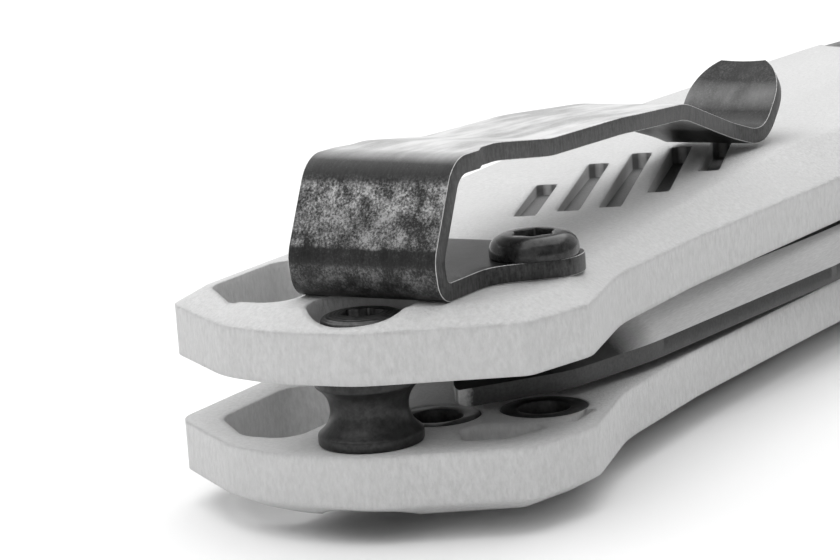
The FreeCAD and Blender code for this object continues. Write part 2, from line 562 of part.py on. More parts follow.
for label, s in (("clip_inserts_clip_side", 1), ("clip_inserts_show_side", -1)):
    b = new_body(label, "dims.clipscrew_x", "dims.clipscrew_y", "0", "clipscrew_turn")
    g = D("gap_half") + 0.01
    fr, br = D("insert_flange_rad"), D("insert_body_rad")
    # a fastened insert is drawn at its thread's flanks, a free one at its thread's root
    ir = D("insert_thread_rad" if s > 0 else "insert_bore_rad")
    ft, ln = D("insert_flange_thick"), D("insert_length")
    pts = [(ir, s * g), (fr, s * g), (fr, s * (g + ft)), (br, s * (g + ft)), (br, s * (g + ln)), (ir, s * (g + ln))]
    sk = sketch(b, label + "_section", "XZ_Plane", shift="dims.clipscrew_pitch / 2")
    sk.addGeometry(geometry([("L", pts[i], pts[(i + 1) % len(pts)]) for i in range(len(pts))]), False)
    rev = revolve(b, label + "_turned", sk)
    pat = b.newObject("PartDesign::PolarPattern", label + "_pair")
    pat.Originals = [rev]
    pat.Axis = (origin_feature(b, "Z_Axis"), [""])
    pat.Angle = 360
    pat.Occurrences = 2
    b.AllowCompound = True
    b.Tip = pat

# -------------------------------------------------------------- pocket clip
clip = new_body("pocket_clip", "0", "dims.clip_axis_y", "0", "clip_turn")
foot, th = D("clip_foot"), D("clip_thick")
# outer face of the strip in side view: foot, bend, arm, contact, lip
C_PTS = [(10.6, foot), (0.15, foot), (-0.12, 6.75), (2.05, 10.97), (6.6, 10.95), (11.9, 10.28), (19.6, 10.12),
         (28.0, 9.55), (38.3, 6.45), (42.2, 9.85)]
C_RAD = [0, 1.2, 1.8, 1.9, 9.0, 9.0, 25.0, 9.0, 2.6, 0]


def offset_open(pts, radii, d):
    """Move an open run of lines to its right by d."""
    out, rr = [], []
    n = len(pts)
    for i in range(n):
        dirs = []
        for j in (i - 1, i):
            if 0 <= j < n - 1:
                ax, ay = pts[j]
                bx, by = pts[j + 1]
                ln = math.hypot(bx - ax, by - ay)
                dirs.append(((bx - ax) / ln, (by - ay) / ln))
        nr = [(dy, -dx) for dx, dy in dirs]
        if len(nr) == 1:
            out.append((pts[i][0] + nr[0][0] * d, pts[i][1] + nr[0][1] * d))
            rr.append(0)
        else:
            k = d / (1 + nr[0][0] * nr[1][0] + nr[0][1] * nr[1][1])
            out.append((pts[i][0] + k * (nr[0][0] + nr[1][0]), pts[i][1] + k * (nr[0][1] + nr[1][1])))
            cross = dirs[0][0] * dirs[1][1] - dirs[0][1] * dirs[1][0]
            rr.append(max(radii[i] - d, 0.1) if cross < 0 else radii[i] + d)
    return out, rr


inner = offset_open(C_PTS, C_RAD, th)
outer_segs = rounded(C_PTS, C_RAD, closed=False)
inner_segs = rounded(inner[0], inner[1], closed=False)


def flip(segs):
    return [(g[0],) + tuple(reversed(g[1:])) for g in reversed(segs)]


loop = outer_segs + [("L", C_PTS[-1], inner[0][-1])] + flip(inner_segs) + [("L", inner[0][0], C_PTS[0])]
pad(clip, "clip_strip", outline_sketch(clip, "clip_side_line", loop, "XZ_Plane"), "16", mid=True)
ch, ah = D("clip_half"), D("clip_arm_half")
box = [(-6, -11), (50, -11), (50, 11), (-6, 11)]
ARM = ([(-2, -ch), (4.7, -ch), (4.95, -ah), (21.0, -ah), (35.2, -2.35), (38.0, -2.75), (42.75, -2.75),
        (42.75, 2.75), (38.0, 2.75), (35.2, 2.35), (21.0, ah), (4.95, ah), (4.7, ch), (-2, ch)],
       [0, 0.1, 0.1, 30, 6, 2.5, 2.3, 2.3, 2.5, 6, 30, 0.1, 0.1, 0])
sk = sketch(clip, "clip_arm_plan", level="dims.clip_split")
sk.addGeometry(geometry(rounded(box, [0] * 4)) + geometry(rounded(*ARM)), False)
pocket(clip, "clip_arm_trim", sk, "8", reverse=True)
TAB = ([(-2, -ch), (4.7, -ch), (5.9, -5.2), (7.2, -6.75), (9.4, -6.6), (10.3, -4.0), (10.6, -0.6), (10.6, 2.0),
        (9.0, ch), (-2, ch)],
       [0, 2.2, 1.2, 1.6, 1.6, 2.5, 1.0, 1.0, 0.8, 0])
# the lip and the contact share the lower range, so the trim keeps them too
LIP = ([(30.0, -2.77), (35.2, -2.35), (38.0, -2.75), (42.75, -2.75), (42.75, 2.75), (38.0, 2.75),
        (35.2, 2.35), (30.0, 2.77)],
       [0, 6, 2.5, 2.3, 2.3, 2.5, 6, 0])
sk = sketch(clip, "clip_foot_plan", level="dims.clip_split")
sk.addGeometry(geometry(rounded(box, [0] * 4)) + geometry(rounded(*TAB)) + geometry(rounded(*LIP)), False)
pocket(clip, "clip_foot_trim", sk, "8")
a = math.radians(D("clipscrew_turn"))
sk = sketch(clip, "clip_hole_plan", level="dims.clip_split")
ct = math.radians(-D("clip_turn"))
for q in (-1, 1):
    gx = D("clipscrew_x") + q * rad * math.cos(a)
    gy = D("clipscrew_y") + q * rad * math.sin(a) - D("clip_axis_y")
    sk.addGeometry(Part.Circle(V(gx * math.cos(ct) - gy * math.sin(ct), gx * math.sin(ct) + gy * math.cos(ct), 0), V(0, 0, 1), D("clip_hole_rad")), False)
pocket(clip, "clip_holes", sk, "8")
# seat for the flush screw, behind the bend
sk = sketch(clip, "clip_flush_seat_plan", level="dims.clip_foot + 0.35")
gx = D("clipscrew_x") - rad * math.cos(a)
gy = D("clipscrew_y") - rad * math.sin(a) - D("clip_axis_y")
sk.addGeometry(Part.Circle(V(gx * math.cos(ct) - gy * math.sin(ct), gx * math.sin(ct) + gy * math.cos(ct), 0), V(0, 0, 1), 1.93), False)
pocket(clip, "clip_flush_seat", sk, "1.2", reverse=True)

# ------------------------------------------------------------ check, write
doc.recompute()
bad = []
for o in doc.Objects:
    if any(t in o.State for t in ("Invalid", "Error")):
        bad.append("%s %s" % (o.Name, o.State))
for b in NODES:
    if b.Shape.isNull() or not b.Shape.isValid():
        bad.append("%s has no valid shape" % b.Label)
for f in CUTS:
    base = f.BaseFeature.Shape
    if base.Volume - f.Shape.Volume < 1e-3:
        bad.append("%s cuts nothing" % f.Name)
if bad:
    raise RuntimeError("; ".join(bad))
os.makedirs("parts", exist_ok=True)
box = FreeCAD.BoundBox()
for b in NODES:
    b.Shape.exportStep("parts/%s.step" % b.Label)
    bb = b.Shape.BoundBox
    box.add(bb)
    print("%-28s solids %d volume %9.2f  x %.2f %.2f  y %.2f %.2f  z %.2f %.2f" % (
        b.Label, len(b.Shape.Solids), b.Shape.Volume, bb.XMin, bb.XMax, bb.YMin, bb.YMax, bb.ZMin, bb.ZMax))
print("whole", box)
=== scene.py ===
import bpy, bmesh, math
from mathutils import Vector, Matrix


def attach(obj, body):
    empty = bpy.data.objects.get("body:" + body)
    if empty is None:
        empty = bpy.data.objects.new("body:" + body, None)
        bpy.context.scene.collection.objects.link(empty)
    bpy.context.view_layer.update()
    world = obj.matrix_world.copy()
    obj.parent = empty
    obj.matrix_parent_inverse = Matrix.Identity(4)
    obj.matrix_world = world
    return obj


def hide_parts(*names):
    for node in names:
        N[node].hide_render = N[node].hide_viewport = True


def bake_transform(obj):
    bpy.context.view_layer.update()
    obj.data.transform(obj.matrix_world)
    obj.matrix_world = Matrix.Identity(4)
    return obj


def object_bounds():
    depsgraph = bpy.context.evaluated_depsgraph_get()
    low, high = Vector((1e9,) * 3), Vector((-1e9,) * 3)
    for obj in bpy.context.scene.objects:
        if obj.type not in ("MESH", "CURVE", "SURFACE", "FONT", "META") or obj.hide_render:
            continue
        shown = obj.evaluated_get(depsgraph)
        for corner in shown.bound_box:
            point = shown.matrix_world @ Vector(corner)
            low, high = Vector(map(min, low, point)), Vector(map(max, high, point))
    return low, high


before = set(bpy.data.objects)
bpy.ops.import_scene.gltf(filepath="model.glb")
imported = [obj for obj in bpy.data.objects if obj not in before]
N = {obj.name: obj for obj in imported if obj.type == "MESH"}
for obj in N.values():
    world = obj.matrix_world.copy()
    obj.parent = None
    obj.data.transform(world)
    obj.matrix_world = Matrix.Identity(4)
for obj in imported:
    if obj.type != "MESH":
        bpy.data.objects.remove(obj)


def _plain(b):
    return [[float(x) for x in c] for c in b]


CAD_BOX = _plain(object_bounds())
scene = bpy.context.scene
scene.view_settings.view_transform = "Standard"
scene.view_settings.look = "None"
scene.view_settings.exposure = 0.0
scene.view_settings.gamma = 1.0

# row frame = rear spacer axis at mid gap, moved by this many millimetres
OX, OY, OZ = -49.65, -4.19, 5.6


def P(x, y, z):
    """Millimetres from the rear spacer's axis at mid gap, to metres in the row frame."""
    return Vector(((x + OX) / 1000.0, (y + OY) / 1000.0, (z + OZ) / 1000.0))


# ------------------------------------------------------------------ materials
class Mat:
    """A small helper for building node materials. Coordinates are millimetres in the row frame."""

    def __init__(self, name):
        self.m = bpy.data.materials.new(name)
        self.m.use_nodes = True
        self.nt = self.m.node_tree
        self.nt.nodes.clear()
        self.out = self.nt.nodes.new("ShaderNodeOutputMaterial")
        self.sh = self.nt.nodes.new("ShaderNodeBsdfPrincipled")
        self.nt.links.new(self.sh.outputs[0], self.out.inputs["Surface"])
        self.tc = self.nt.nodes.new("ShaderNodeTexCoord")
        sc = self.nt.nodes.new("ShaderNodeVectorMath")
        sc.operation = "SCALE"
        sc.inputs["Scale"].default_value = 1000.0
        self.nt.links.new(self.tc.outputs["Object"], sc.inputs[0])
        self.mm = sc.outputs[0]

    def link(self, a, b):
        self.nt.links.new(a, b)
        return a

    def node(self, kind, **kw):
        n = self.nt.nodes.new(kind)
        for k, v in kw.items():
            setattr(n, k, v)
        return n

    def stretched(self, sx, sy, sz):
        n = self.node("ShaderNodeVectorMath", operation="MULTIPLY")
        n.inputs[1].default_value = (sx, sy, sz)
        self.link(self.mm, n.inputs[0])
        return n.outputs[0]

    def noise(self, scale, detail=4.0, rough=0.55, vec=None, dist=0.0):
        n = self.node("ShaderNodeTexNoise")
        n.inputs["Scale"].default_value = scale
        n.inputs["Detail"].default_value = detail
        n.inputs["Roughness"].default_value = rough
        n.inputs["Distortion"].default_value = dist
        self.link(vec or self.mm, n.inputs["Vector"])
        return n.outputs["Fac"]

    def voronoi(self, scale, vec=None, feature="F1"):
        n = self.node("ShaderNodeTexVoronoi", feature=feature)
        n.inputs["Scale"].default_value = scale
        self.link(vec or self.mm, n.inputs["Vector"])
        return n.outputs["Distance"]

    def ramp(self, fac, stops):
        n = self.node("ShaderNodeValToRGB")
        e = n.color_ramp.elements
        while len(e) < len(stops):
            e.new(0.5)
        for k, (p, c) in enumerate(stops):
            e[k].position = p
            v = (c, c, c) if isinstance(c, (int, float)) else c
            e[k].color = (v[0], v[1], v[2], 1.0)
        self.link(fac, n.inputs["Fac"])
        return n.outputs["Color"]

    def math(self, op, a, b=None, clamp=False):
        n = self.node("ShaderNodeMath", operation=op, use_clamp=clamp)
        for k, v in enumerate((a, b)):
            if v is None:
                continue
            if isinstance(v, (int, float)):
                n.inputs[k].default_value = v
            else:
                self.link(v, n.inputs[k])
        return n.outputs[0]

    def mixc(self, fac, a, b, blend="MIX"):
        n = self.node("ShaderNodeMix", data_type="RGBA", blend_type=blend)
        for key, v in ((0, fac), (6, a), (7, b)):
            if isinstance(v, (int, float)):
                n.inputs[key].default_value = v if key == 0 else (v, v, v, 1.0)
            elif isinstance(v, tuple):
                n.inputs[key].default_value = (v[0], v[1], v[2], 1.0)
            else:
                self.link(v, n.inputs[key])
        return n.outputs[2]

    def axis(self, which):
        n = self.node("ShaderNodeSeparateXYZ")
        self.link(self.mm, n.inputs[0])
        return n.outputs[which]

    def bump(self, height, strength, distance, base=None):
        n = self.node("ShaderNodeBump")
        n.inputs["Strength"].default_value = strength
        n.inputs["Distance"].default_value = distance
        self.link(height, n.inputs["Height"])
        if base is not None:
            self.link(base, n.inputs["Normal"])
        self.link(n.outputs[0], self.sh.inputs["Normal"])
        return n.outputs[0]

    def set(self, **kw):
        names = {"metallic": "Metallic", "rough": "Roughness", "spec": "Specular IOR Level",
                 "coat": "Coat Weight", "coat_rough": "Coat Roughness", "ior": "IOR",
                 "aniso": "Anisotropic", "color": "Base Color", "sheen": "Sheen Weight"}
        for k, v in kw.items():
            s = self.sh.inputs[names[k]]
            if isinstance(v, (int, float)):
                if k == "color":
                    s.default_value = (v, v, v, 1.0)
                else:
                    s.default_value = v
            elif isinstance(v, tuple):
                s.default_value = (v[0], v[1], v[2], 1.0)
            else:
                self.link(v, s)
        return self


def polymer():
    """Matte moulded polymer, a fine sparkle-eroded grain that drags along Z on the side walls."""
    a = Mat("scale_polymer")
    drag = a.stretched(1.0, 1.0, 0.45)
    fine = a.noise(4.6, 7.0, 0.70, drag)
    pits = a.voronoi(5.0, drag)
    broad = a.noise(0.22, 3.0, 0.5)
    col = a.mixc(a.ramp(fine, [(0.36, 0.0), (0.64, 1.0)]), 0.55, 0.66)
    col = a.mixc(a.ramp(broad, [(0.35, 0.0), (0.7, 0.35)]), col, 0.585)
    # painted shade in the grip grooves: the groove floors on the outer face are coloured dark where shadow falls in
    # them
    x, y, z = a.axis(0), a.axis(1), a.axis(2)

    def inside(v, lo, hi, soft):
        up = a.math("MULTIPLY", a.math("SUBTRACT", v, lo), 1.0 / soft, clamp=True)
        down = a.math("MULTIPLY", a.math("SUBTRACT", hi, v), 1.0 / soft, clamp=True)
        return a.math("MULTIPLY", up, down)

    ca, sa = math.cos(math.radians(21)), math.sin(math.radians(21))
    u = a.math("ADD", a.math("MULTIPLY", x, ca), a.math("MULTIPLY", y, sa))
    v = a.math("SUBTRACT", a.math("MULTIPLY", y, ca), a.math("MULTIPLY", x, sa))
    groove_shade = None
    for x0, y0, run in ((19.5, 2.9, 8.0), (21.0, 1.2, 12.5), (22.2, -0.6, 14.5), (26.0, -1.4, 12.5), (31.5, -1.6, 9.0)):
        ui, vi = ca * (x0 + OX) + sa * (y0 + OY), ca * (y0 + OY) - sa * (x0 + OX)
        one = a.math("MULTIPLY", inside(u, ui - 0.02, ui + run + 0.02, 0.08), inside(v, vi - 0.60, vi + 0.60, 0.08))
        groove_shade = one if groove_shade is None else a.math("MAXIMUM", groove_shade, one)
    outer = a.math("MULTIPLY", a.math("SUBTRACT", a.math("ABSOLUTE", a.math("SUBTRACT", z, 5.6)), 2.9), 8.0, clamp=True)
    # painted shade: the grooves on the outer face are mixed towards 0.11
    col = a.mixc(a.math("MULTIPLY", a.math("MULTIPLY", groove_shade, outer), 0.92), col, 0.11)
    a.set(color=col, spec=0.34, rough=a.math("ADD", a.math("MULTIPLY", fine, 0.18), 0.48))
    hgt = a.math("ADD", a.math("MULTIPLY", fine, 1.0), a.math("MULTIPLY", pits, 0.35))
    soft = a.node("ShaderNodeBevel", samples=4)
    soft.inputs["Radius"].default_value = 0.00045
    a.bump(hgt, 0.8, 0.00009, base=soft.outputs[0])
    return a.m


def clip_steel():
    """Dark oxide on spring steel, mottled, and rubbed through where the bend is handled; the rubbed speckle is held to
    height bands that are painted reflection and shade, and the arm's flat is painted pale as a reflection.
    """
    a = Mat("clip_steel")
    z, x = a.axis(2), a.axis(0)
    mott = a.noise(0.95, 9.0, 0.70)
    spk = a.noise(8.5, 7.0, 0.78)
    streak = a.noise(1.0, 6.0, 0.7, a.stretched(3.0, 6.0, 0.5))
    warp = a.math("MULTIPLY", a.math("SUBTRACT", mott, 0.5), 0.05)
    # painted reflection and shade: the rubbed speckle on the bend shows only in horizontal bands by height, which stand
    # in for reflected bands of the room, and it is held back low near the foot as painted shade
    height = a.math("ADD", a.math("MULTIPLY", a.math("SUBTRACT", z, 9.0), 1 / 8.0), warp)
    reflection_band = a.ramp(height, [(0.10, 0.02), (0.20, 0.10), (0.36, 0.34), (0.385, 0.05), (0.465, 0.05), (0.485, 0.62),
                           (0.64, 0.70), (0.70, 0.96), (0.79, 1.0), (0.83, 0.20), (0.86, 0.01), (1.0, 0.04)])
    front = a.ramp(a.math("MULTIPLY", a.math("ADD", x, 53.0), 0.1), [(0.0, 1.0), (0.60, 1.0), (0.72, 0.10), (1.0, 0.10)])
    reflection_band = a.math("MULTIPLY", reflection_band, front)
    grain = a.math("ADD", a.math("MULTIPLY", mott, 0.45), a.math("MULTIPLY", spk, 0.55))
    rub_and_reflection = a.math("MULTIPLY", a.ramp(grain, [(0.45, 0.02), (0.515, 0.34), (0.58, 1.0)]), reflection_band)
    fleck = a.math("MULTIPLY", a.ramp(spk, [(0.60, 0.0), (0.69, 1.0)]), 0.35)
    mask = a.math("MAXIMUM", rub_and_reflection, a.math("MULTIPLY", fleck, a.ramp(mott, [(0.4, 0.15), (0.62, 1.0)])))
    dark = a.mixc(a.ramp(streak, [(0.35, 0.0), (0.7, 1.0)]), 0.006, 0.020)
    col = a.mixc(mask, dark, 0.52)
    # painted reflection: the arm's flat is painted a pale satin that stands in for the bright room reflected in the
    # dark oxide
    far = a.ramp(a.math("MULTIPLY", a.math("ADD", x, 49.0), 0.1), [(0.16, 0.0), (0.34, 1.0)])
    high = a.math("MULTIPLY", a.math("SUBTRACT", z, 13.0), 0.8, clamp=True)
    lip = a.ramp(a.math("MULTIPLY", a.math("SUBTRACT", -8.6, x), 0.12), [(0.0, 0.0), (0.35, 1.0)])
    arm = a.math("MULTIPLY", a.math("MULTIPLY", far, high), lip)
    pale = a.mixc(a.ramp(a.noise(0.35, 4.0, 0.55, a.stretched(0.5, 2.2, 1.0)), [(0.38, 0.0), (0.62, 1.0)]), 0.34, 0.80)
    col = a.mixc(arm, col, a.mixc(a.ramp(grain, [(0.40, 0.0), (0.60, 1.0)]), pale, a.mixc(0.5, pale, 0.75)))
    a.set(color=col, metallic=a.math("ADD", a.math("MULTIPLY", mask, 0.15), a.math("MULTIPLY", arm, 0.75), clamp=True),
          spec=a.math("ADD", a.math("MULTIPLY", arm, 0.5), 0.26),
          rough=a.math("ADD", a.math("MULTIPLY", mott, 0.16), 0.27))
    a.bump(a.math("ADD", a.math("MULTIPLY", spk, 0.8), a.math("MULTIPLY", mott, 0.5)), 0.35, 0.00003)
    return a.m


def clip_edge(name, lo, hi, rough):
    """The strip's sheared edge, scored through its thickness and half bare; on the rounded rims the bright tones are
    worn bare steel painted lighter as a highlight.
    """
    a = Mat(name)
    score = a.noise(1.0, 6.0, 0.7, a.stretched(7.0, 7.0, 1.6))
    spk = a.noise(5.0, 5.0, 0.65)
    col = a.mixc(a.ramp(a.math("ADD", a.math("MULTIPLY", score, 0.6), a.math("MULTIPLY", spk, 0.4)),
                        [(0.36, 0.0), (0.66, 1.0)]), lo, hi)
    a.set(color=col, metallic=0.25, spec=0.35, rough=a.math("ADD", a.math("MULTIPLY", spk, 0.2), rough - 0.1))
    a.bump(score, 0.35, 0.00003)
    return a.m


def turned_metal(name, cx, cy, base, hi, rough):
    """Black steel faced off on a lathe: rings about a vertical axis at (cx, cy) millimetres."""
    a = Mat(name)
    v = a.node("ShaderNodeVectorMath", operation="SUBTRACT")
    v.inputs[1].default_value = (cx, cy, 0.0)
    a.link(a.mm, v.inputs[0])
    f = a.node("ShaderNodeVectorMath", operation="MULTIPLY")
    f.inputs[1].default_value = (1.0, 1.0, 0.0)
    a.link(v.outputs[0], f.inputs[0])
    ln = a.node("ShaderNodeVectorMath", operation="LENGTH")
    a.link(f.outputs[0], ln.inputs[0])
    n1 = a.noise(3.5, 5.0, 0.6)
    ring = a.math("SINE", a.math("ADD", a.math("MULTIPLY", ln.outputs["Value"], 34.0), a.math("MULTIPLY", n1, 2.5)))
    col = a.mixc(a.ramp(n1, [(0.35, 0.0), (0.72, 1.0)]), base, hi)
    a.set(color=col, metallic=0.6, spec=0.6, rough=a.math("ADD", a.math("MULTIPLY", n1, 0.18), rough - 0.07))
    a.bump(ring, 0.35, 0.00002)
    return a.m


def black_metal(name, base=0.022, hi=0.05, rough=0.30, turned=None, bumpy=0.15, metallic=0.55, scale=4.0):
    """Satin black steel; the turned argument is not used."""
    a = Mat(name)
    n1 = a.noise(scale, 5.0, 0.6)
    n2 = a.noise(scale * 0.22, 3.0, 0.55)
    col = a.mixc(a.ramp(n1, [(0.35, 0.0), (0.75, 1.0)]), base, hi)
    a.set(color=col, metallic=metallic, spec=0.5,
          rough=a.math("ADD", a.math("MULTIPLY", n2, 0.22), rough - 0.08))
    a.bump(n1, bumpy, 0.00002)
    return a.m


def steel(name, base=0.45, rough=0.26, along=(1.0, 14.0, 14.0), metallic=1.0, tint=(1.0, 1.0, 1.0)):
    """Bare steel with fine grinding lines."""
    a = Mat(name)
    lines = a.noise(1.6, 6.0, 0.65, a.stretched(*along))
    cloud = a.noise(0.5, 3.0, 0.5)
    lo = tuple(base * 0.82 * t for t in tint)
    hi = tuple(min(1.0, base * 1.15) * t for t in tint)
    a.set(color=a.mixc(a.ramp(lines, [(0.3, 0.0), (0.7, 1.0)]), lo, hi), metallic=metallic,
          rough=a.math("ADD", a.math("MULTIPLY", cloud, 0.2), rough - 0.06))
    a.bump(lines, 0.12, 0.00001)
    return a.m


def blade_steel(name, base, hi, rough, bare, x0, x1):
    """Blade coating that gives way to bare ground steel between the stations x0 and x1 (millimetres, row X); on the
    swedge the pale tone past the stations is painted reflection.
    """
    a = Mat(name)
    n1 = a.noise(7.0, 5.0, 0.6)
    n2 = a.noise(1.5, 3.0, 0.55)
    lines = a.noise(1.6, 6.0, 0.65, a.stretched(1.0, 12.0, 12.0))
    edge = a.math("ADD", a.axis(0), a.math("MULTIPLY", a.math("SUBTRACT", n1, 0.5), 0.5))
    mask = a.math("MULTIPLY", a.math("SUBTRACT", edge, x0), 1.0 / (x1 - x0), clamp=True)
    coat = a.mixc(a.ramp(n1, [(0.35, 0.0), (0.75, 1.0)]), base, hi)
    metal = a.mixc(a.ramp(lines, [(0.3, 0.0), (0.7, 1.0)]), bare * 0.85, bare * 1.1)
    a.set(color=a.mixc(mask, coat, metal), metallic=a.math("ADD", a.math("MULTIPLY", mask, 0.45), 0.15),
          spec=0.45, rough=a.math("ADD", a.math("MULTIPLY", n2, 0.22), rough - 0.08))
    a.bump(n1, 0.22, 0.00002)
    return a.m


M_POLY = polymer()
M_CLIP = clip_steel()
M_CLIP_EDGE = clip_edge("clip_edge", 0.008, 0.085, 0.42)
# rounded rims: worn bare edges, painted light as a highlight along the strip's edges
M_CLIP_RIM_HIGHLIGHT = clip_edge("clip_rim_worn_highlight", 0.30, 0.80, 0.30)
# painted reflection: the swedge turns pale from about X 13 mm towards the pivot, standing in for the bright room
# reflected at a grazing angle
M_SWEDGE_REFLECTION = blade_steel("swedge_painted_reflection", 0.006, 0.014, 0.42, 0.58, -36.6, -33.0)
M_BLADE_EDGE = steel("blade_edge_bare", 0.52, 0.28, along=(2.0, 2.0, 16.0))
M_REAR_SCREW = turned_metal("rear_screw_black", OX, OY, 0.03, 0.09, 0.33)
M_SPACER = black_metal("spacer_black", 0.018, 0.045, 0.34)
M_SCREW = black_metal("screw_black", 0.014, 0.045, 0.17, bumpy=0.10, metallic=0.35)
M_INSERT = black_metal("insert_black", 0.03, 0.07, 0.36)
M_HARD = black_metal("black_hardware", 0.02, 0.045, 0.32)
M_BLADE = blade_steel("blade_coating", 0.018, 0.042, 0.38, 0.50, -44.35, -44.75)
M_LINER = steel("liner_steel", 0.42, 0.30)
M_BARE = steel("bare_steel", 0.50, 0.22)
M_SPRING = steel("spring_wire", 0.48, 0.25, along=(3.0, 3.0, 3.0))
M_BRONZE = steel("washer_bronze", 0.62, 0.30, along=(4, 4, 4), tint=(1.0, 0.70, 0.42))

BY_NODE = {}
for n in N:
    if n.endswith("_scale"):
        BY_NODE[n] = M_POLY
    elif n.endswith("_liner"):
        BY_NODE[n] = M_LINER
    elif n == "blade":
        BY_NODE[n] = M_BLADE
    elif n.startswith("thumb_stud") or n.startswith("lock_button"):
        BY_NODE[n] = M_HARD
    elif "washer" in n:
        BY_NODE[n] = M_BRONZE
    elif n.startswith("omega"):
        BY_NODE[n] = M_SPRING
    elif n == "pocket_clip":
        BY_NODE[n] = M_CLIP
    elif n in ("rear_spacer", "middle_spacer"):
        BY_NODE[n] = M_SPACER
    elif n in ("pivot_barrel", "stop_pin", "lock_bar"):
        BY_NODE[n] = M_BARE
    elif n.startswith("clip_inserts"):
        BY_NODE[n] = M_INSERT
    elif n.startswith("rear_spacer_screw"):
        BY_NODE[n] = M_REAR_SCREW
    else:
        BY_NODE[n] = M_SCREW
for n, o in N.items():
    o.data.materials.clear()
    o.data.materials.append(BY_NODE[n])

# ------------------------------------------------------------------ mesh tools
def rounded_line(pts, radii, closed=False, step=5.0):
    """Straight runs joined by tangent arcs, sampled finely. Millimetres."""
    n = len(pts)
    out = []
    for i in range(n):
        x, y = pts[i]
        if not closed and i in (0, n - 1):
            out.append((x, y))
            continue
        ax, ay = pts[i - 1]
        bx, by = pts[(i + 1) % n]
        ux, uy, vx, vy = ax - x, ay - y, bx - x, by - y
        lu, lv = math.hypot(ux, uy), math.hypot(vx, vy)
        ux, uy, vx, vy = ux / lu, uy / lu, vx / lv, vy / lv
        ang = math.acos(max(-1, min(1, ux * vx + uy * vy)))
        rad = radii[i]
        if rad <= 0 or ang > math.pi - 1e-4:
            out.append((x, y))
            continue
        tan_len = rad / math.tan(ang / 2)
        cap = 0.49 * min(lu, lv) if closed or (0 < i - 1 and i + 1 < n - 1) else 0.9 * min(lu, lv)
        if tan_len > cap:
            tan_len = cap
            rad = tan_len * math.tan(ang / 2)
        wx, wy = ux + vx, uy + vy
        lw = math.hypot(wx, wy)
        dist = rad / math.sin(ang / 2)
        cx, cy = x + wx / lw * dist, y + wy / lw * dist
        a0 = math.atan2(y + uy * tan_len - cy, x + ux * tan_len - cx)
        a1 = math.atan2(y + vy * tan_len - cy, x + vx * tan_len - cx)
        d = (a1 - a0 + math.pi) % (2 * math.pi) - math.pi
        k = max(3, int(abs(math.degrees(d)) / step) + 1)
        for j in range(k + 1):
            a = a0 + d * j / k
            out.append((cx + rad * math.cos(a), cy + rad * math.sin(a)))
    res = [out[0]]
    for p in out[1:]:
        if math.hypot(p[0] - res[-1][0], p[1] - res[-1][1]) > 1e-4:
            res.append(p)
    return res


def refine_line(pts, gap):
    """The same line with no step longer than gap."""
    out = [pts[0]]
    for a, b in zip(pts, pts[1:]):
        n = max(1, int(math.ceil(math.hypot(b[0] - a[0], b[1] - a[1]) / gap)))
        for k in range(1, n + 1):
            out.append((a[0] + (b[0] - a[0]) * k / n, a[1] + (b[1] - a[1]) * k / n))
    return out


def side_normals(pts):
    """Unit normals to the right of travel along an open line."""
    out = []
    for i in range(len(pts)):
        a, b = pts[max(0, i - 1)], pts[min(len(pts) - 1, i + 1)]
        dx, dy = b[0] - a[0], b[1] - a[1]
        ln = math.hypot(dx, dy)
        out.append((dy / ln, -dx / ln))
    return out


def new_piece(name, bm, mats, body):
    me = bpy.data.meshes.new(name)
    bmesh.ops.recalc_face_normals(bm, faces=bm.faces)
    bm.to_mesh(me)
    bm.free()
    for m in mats:
        me.materials.append(m)
    o = bpy.data.objects.new(name, me)
    scene.collection.objects.link(o)
    return o


def apply_modifiers(o):
    dg = bpy.context.evaluated_depsgraph_get()
    dg.update()
    me = bpy.data.meshes.new_from_object(o.evaluated_get(dg))
    o.modifiers.clear()
    o.data = me
    return o


def smooth(o, angle=35.0):
    for p in o.data.polygons:
        p.use_smooth = True
    o.data.set_sharp_from_angle(angle=math.radians(angle))
    return o


def cad_copy(node, name):
    """A welded copy of a CAD node's mesh, with its flat faces joined again."""
    src = N[node].data
    bm = bmesh.new()
    bm.from_mesh(src)
    bmesh.ops.remove_doubles(bm, verts=bm.verts, dist=1.0e-6)
    bmesh.ops.dissolve_degenerate(bm, dist=2.0e-7, edges=bm.edges)
    bmesh.ops.dissolve_limit(bm, angle_limit=math.radians(0.6), verts=bm.verts, edges=bm.edges)
    me = bpy.data.meshes.new(name)
    bm.to_mesh(me)
    bm.free()
    o = bpy.data.objects.new(name, me)
    scene.collection.objects.link(o)
    return o


def edge_break(o, width_mm, segments=2, angle=28.0, material=-1):
    b = o.modifiers.new("edge_break", "BEVEL")
    b.width = width_mm / 1000.0
    b.segments = segments
    b.limit_method = "ANGLE"
    b.angle_limit = math.radians(angle)
    b.use_clamp_overlap = True
    b.miter_outer = "MITER_ARC"
    b.material = material
    b.harden_normals = False
    return apply_modifiers(o)


